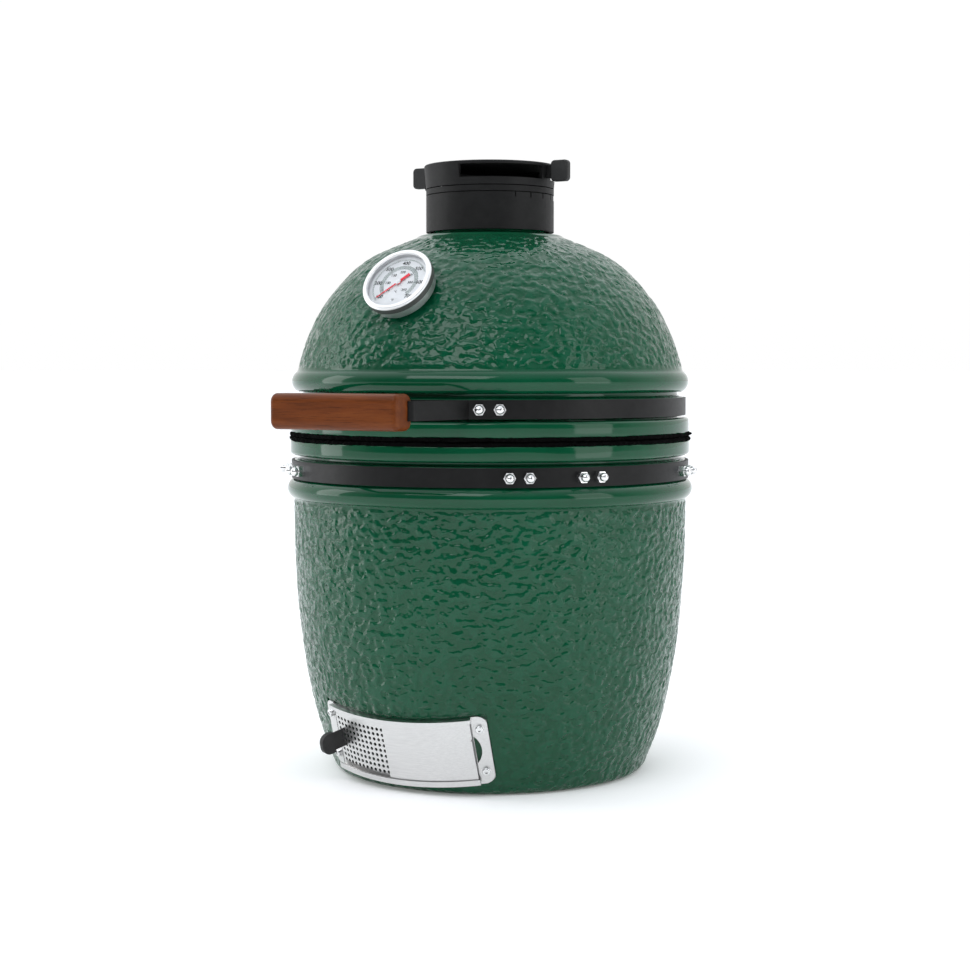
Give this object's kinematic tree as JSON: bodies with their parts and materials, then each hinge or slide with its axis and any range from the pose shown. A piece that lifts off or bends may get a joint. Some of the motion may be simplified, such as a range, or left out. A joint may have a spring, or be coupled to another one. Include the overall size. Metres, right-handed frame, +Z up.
{
  "type": "ceramic kamado grill",
  "caption": "Small egg-shaped ceramic charcoal grill with a hinged dome, front thermometer, wooden handle, sliding draft door and rotating top vent with a lifting hood.",
  "frame": {"origin": "centre of the base's resting face, on the axis of the egg", "axes": "+Z up; -Y is the front, with the handle, thermometer and draft door; +X is to the right as the front is seen"},
  "size_m": [0.4244, 0.5242, 0.6099],
  "materials": {
    "green_glaze": "dimpled dark green glaze",
    "raw_ceramic": "matt unglazed refractory",
    "felt": "matt black felt",
    "black_steel": "satin black powder coat",
    "bright_steel": "brushed stainless steel",
    "zinc_steel": "bright plated steel",
    "spring_steel": "drawn spring wire",
    "black_silicone": "matt black silicone",
    "cast_black": "black cast iron",
    "wood": "brown stained wood",
    "dial_white": "matt white printed dial",
    "clear_glass": "clear flat glass",
    "pointer_red": "red enamel"
  },
  "bodies": {
    "base": {"base_shell": "green_glaze", "base_gasket": "felt", "lower_band": "black_steel", "lower_band_studs": "zinc_steel", "lower_band_cap_nuts": "zinc_steel", "hinge_lower_bracket": "black_steel", "hinge_lower_studs": "zinc_steel", "hinge_lower_nuts": "zinc_steel", "hinge_pin": "zinc_steel", "hinge_pin_clips": "spring_steel", "hinge_spring_left": "spring_steel", "hinge_spring_right": "spring_steel", "draft_frame": "bright_steel", "draft_frame_screws": "zinc_steel", "fire_box": "raw_ceramic", "fire_plate": "raw_ceramic", "fire_grate": "cast_black", "fire_ring": "raw_ceramic"},
    "cooking_grid": {"cooking_grid": "bright_steel"},
    "draft_door": {"draft_door": "bright_steel"},
    "draft_screen": {"draft_screen": "bright_steel", "draft_screen_tab": "bright_steel", "draft_screen_grip": "black_silicone"},
    "dome": {"dome_shell": "green_glaze", "dome_gasket": "felt", "upper_band": "black_steel", "hinge_upper_bracket": "black_steel", "hinge_upper_studs": "zinc_steel", "hinge_upper_nuts": "zinc_steel", "handle_bracket_left": "black_steel", "handle_bracket_right": "black_steel", "handle_bracket_studs": "zinc_steel", "handle_bracket_cap_nuts": "zinc_steel", "handle_grip": "wood", "handle_screws": "zinc_steel", "gauge_case": "bright_steel", "gauge_bezel": "bright_steel", "gauge_dial": "dial_white", "gauge_glass": "clear_glass", "gauge_stem": "bright_steel", "gauge_nut": "zinc_steel", "vent_sleeve": "cast_black", "vent_sleeve_seal": "felt", "vent_pivot_bolt": "zinc_steel"},
    "gauge_pointer": {"gauge_pointer": "pointer_red"},
    "vent_rotor": {"vent_rotor": "cast_black", "vent_hinge_pin": "zinc_steel"},
    "vent_hood": {"vent_hood": "cast_black", "vent_tab_cover_left": "black_silicone", "vent_tab_cover_right": "black_silicone"}
  },
  "joints": [
    {"name": "dome_hinge", "type": "hinge", "parent": "base", "child": "dome", "pos_m": [0, 0.232, 0.3366], "axis": [-1, 0, 0], "range_deg": [0, 65], "deforming": ["hinge_spring_left", "hinge_spring_right"]},
    {"name": "grid_lift", "type": "slide", "parent": "base", "child": "cooking_grid", "axis": [0, 0, 1], "range_m": [0, 0.025]},
    {"name": "draft_door_slide", "type": "hinge", "parent": "base", "child": "draft_door", "pos_m": [0, 0.00027, 0.09424], "axis": [-0.0061, -0.2923, 0.9563], "range_deg": [-18, 0]},
    {"name": "draft_screen_slide", "type": "hinge", "parent": "base", "child": "draft_screen", "pos_m": [0, 0.00027, 0.09424], "axis": [-0.0061, -0.2923, 0.9563], "range_deg": [0, 18]},
    {"name": "gauge_needle", "type": "hinge", "parent": "dome", "child": "gauge_pointer", "pos_m": [0, -0.175, 0.4875], "axis": [0, 0.809, -0.5878], "range_deg": [0, 270]},
    {"name": "vent_turn", "type": "hinge", "parent": "dome", "child": "vent_rotor", "pos_m": [0, 0, 0.58], "axis": [0, 0, 1], "range_deg": [0, 60]},
    {"name": "vent_hood_hinge", "type": "hinge", "parent": "vent_rotor", "child": "vent_hood", "pos_m": [-0.0675, 0, 0.588], "axis": [0, -1, 0], "range_deg": [0, 90]}
  ]
}
